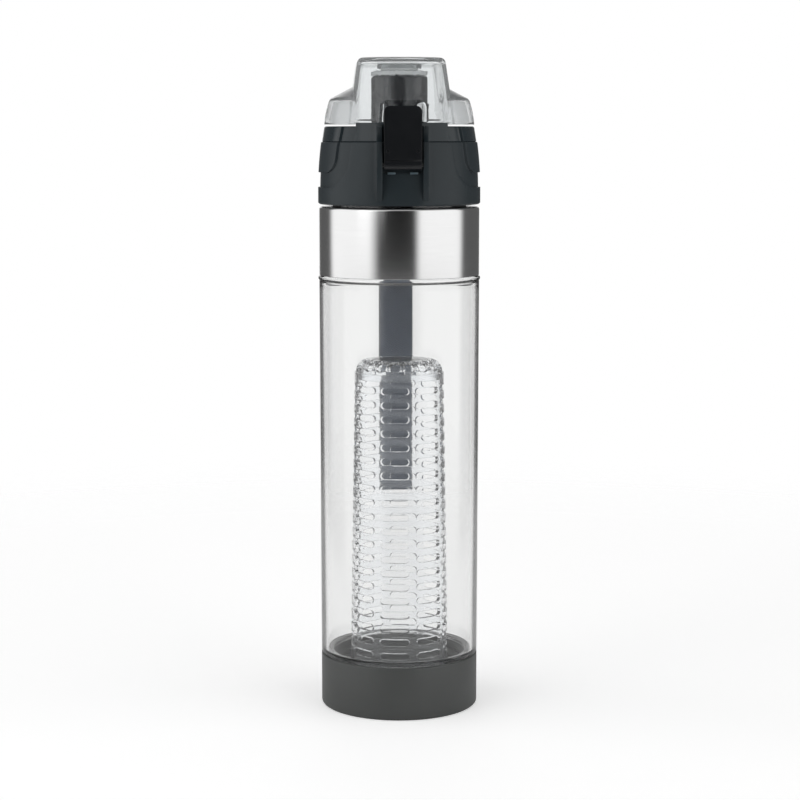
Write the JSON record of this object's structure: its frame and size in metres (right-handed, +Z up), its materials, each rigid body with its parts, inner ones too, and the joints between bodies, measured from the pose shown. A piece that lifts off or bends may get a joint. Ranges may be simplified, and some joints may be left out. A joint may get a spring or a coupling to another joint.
{
  "type": "fruit infuser water bottle",
  "caption": "Clear drinking bottle with a slotted fruit infuser on a screw base, a steel collar, a flip-top spout lid, a front latch and a carry loop.",
  "frame": {"origin": "centre of the base's flat underside", "axes": "+Z up along the bottle's axis, -Y towards the front, where the latch is, +Y towards the carry loop, +X to the right seen from the front"},
  "size_m": [0.0686, 0.0827, 0.2751],
  "materials": {
    "base_plastic": "satin moulded dark grey",
    "lid_plastic": "satin moulded slate grey",
    "spout_plastic": "gloss black",
    "latch_plastic": "semi-gloss black",
    "clear_plastic": "clear, polished",
    "smoky_plastic": "clear, slightly smoky, polished",
    "infuser_plastic": "clear, moulded",
    "clear_silicone": "translucent matte",
    "grey_silicone": "matte",
    "brushed_collar": "brushed round the bottle",
    "pin_steel": "drawn wire",
    "webbing": "woven webbing"
  },
  "bodies": {
    "base": {"base_cap": "base_plastic", "base_gasket": "grey_silicone"},
    "infuser": {"infuser_basket": "infuser_plastic", "infuser_top": "infuser_plastic"},
    "bottle": {"bottle_body": "clear_plastic", "steel_collar": "brushed_collar"},
    "lid": {"lid_core": "lid_plastic", "lid_shell": "lid_plastic", "lid_deck": "lid_plastic", "lid_gasket": "grey_silicone", "spout": "spout_plastic", "spout_o_ring": "grey_silicone", "hinge_pin": "pin_steel", "latch_pin": "pin_steel", "strap_pin": "pin_steel"},
    "cover": {"flip_cover": "smoky_plastic", "cover_seal": "clear_silicone"},
    "latch_lever": {"latch": "latch_plastic"},
    "carry_loop": {"carry_strap": "webbing"}
  },
  "joints": [
    {"name": "bottle_lift", "type": "slide", "parent": "base", "child": "bottle", "axis": [0, 0, 1], "range_m": [0, 0.185]},
    {"name": "infuser_lift", "type": "slide", "parent": "base", "child": "infuser", "axis": [0, 0, 1], "range_m": [0, 0.03]},
    {"name": "lid_lift", "type": "slide", "parent": "bottle", "child": "lid", "axis": [0, 0, 1], "range_m": [0, 0.04]},
    {"name": "cover_hinge", "type": "hinge", "parent": "lid", "child": "cover", "pos_m": [0, 0.0336, 0.2496], "axis": [-1, 0, 0], "range_deg": [0, 125]},
    {"name": "latch_pivot", "type": "hinge", "parent": "lid", "child": "latch_lever", "pos_m": [0, -0.035, 0.2315], "axis": [1, 0, 0], "range_deg": [0, 85]},
    {"name": "strap_swing", "type": "hinge", "parent": "lid", "child": "carry_loop", "pos_m": [0, 0.0377, 0.2329], "axis": [1, 0, 0], "range_deg": [0, 85]}
  ]
}
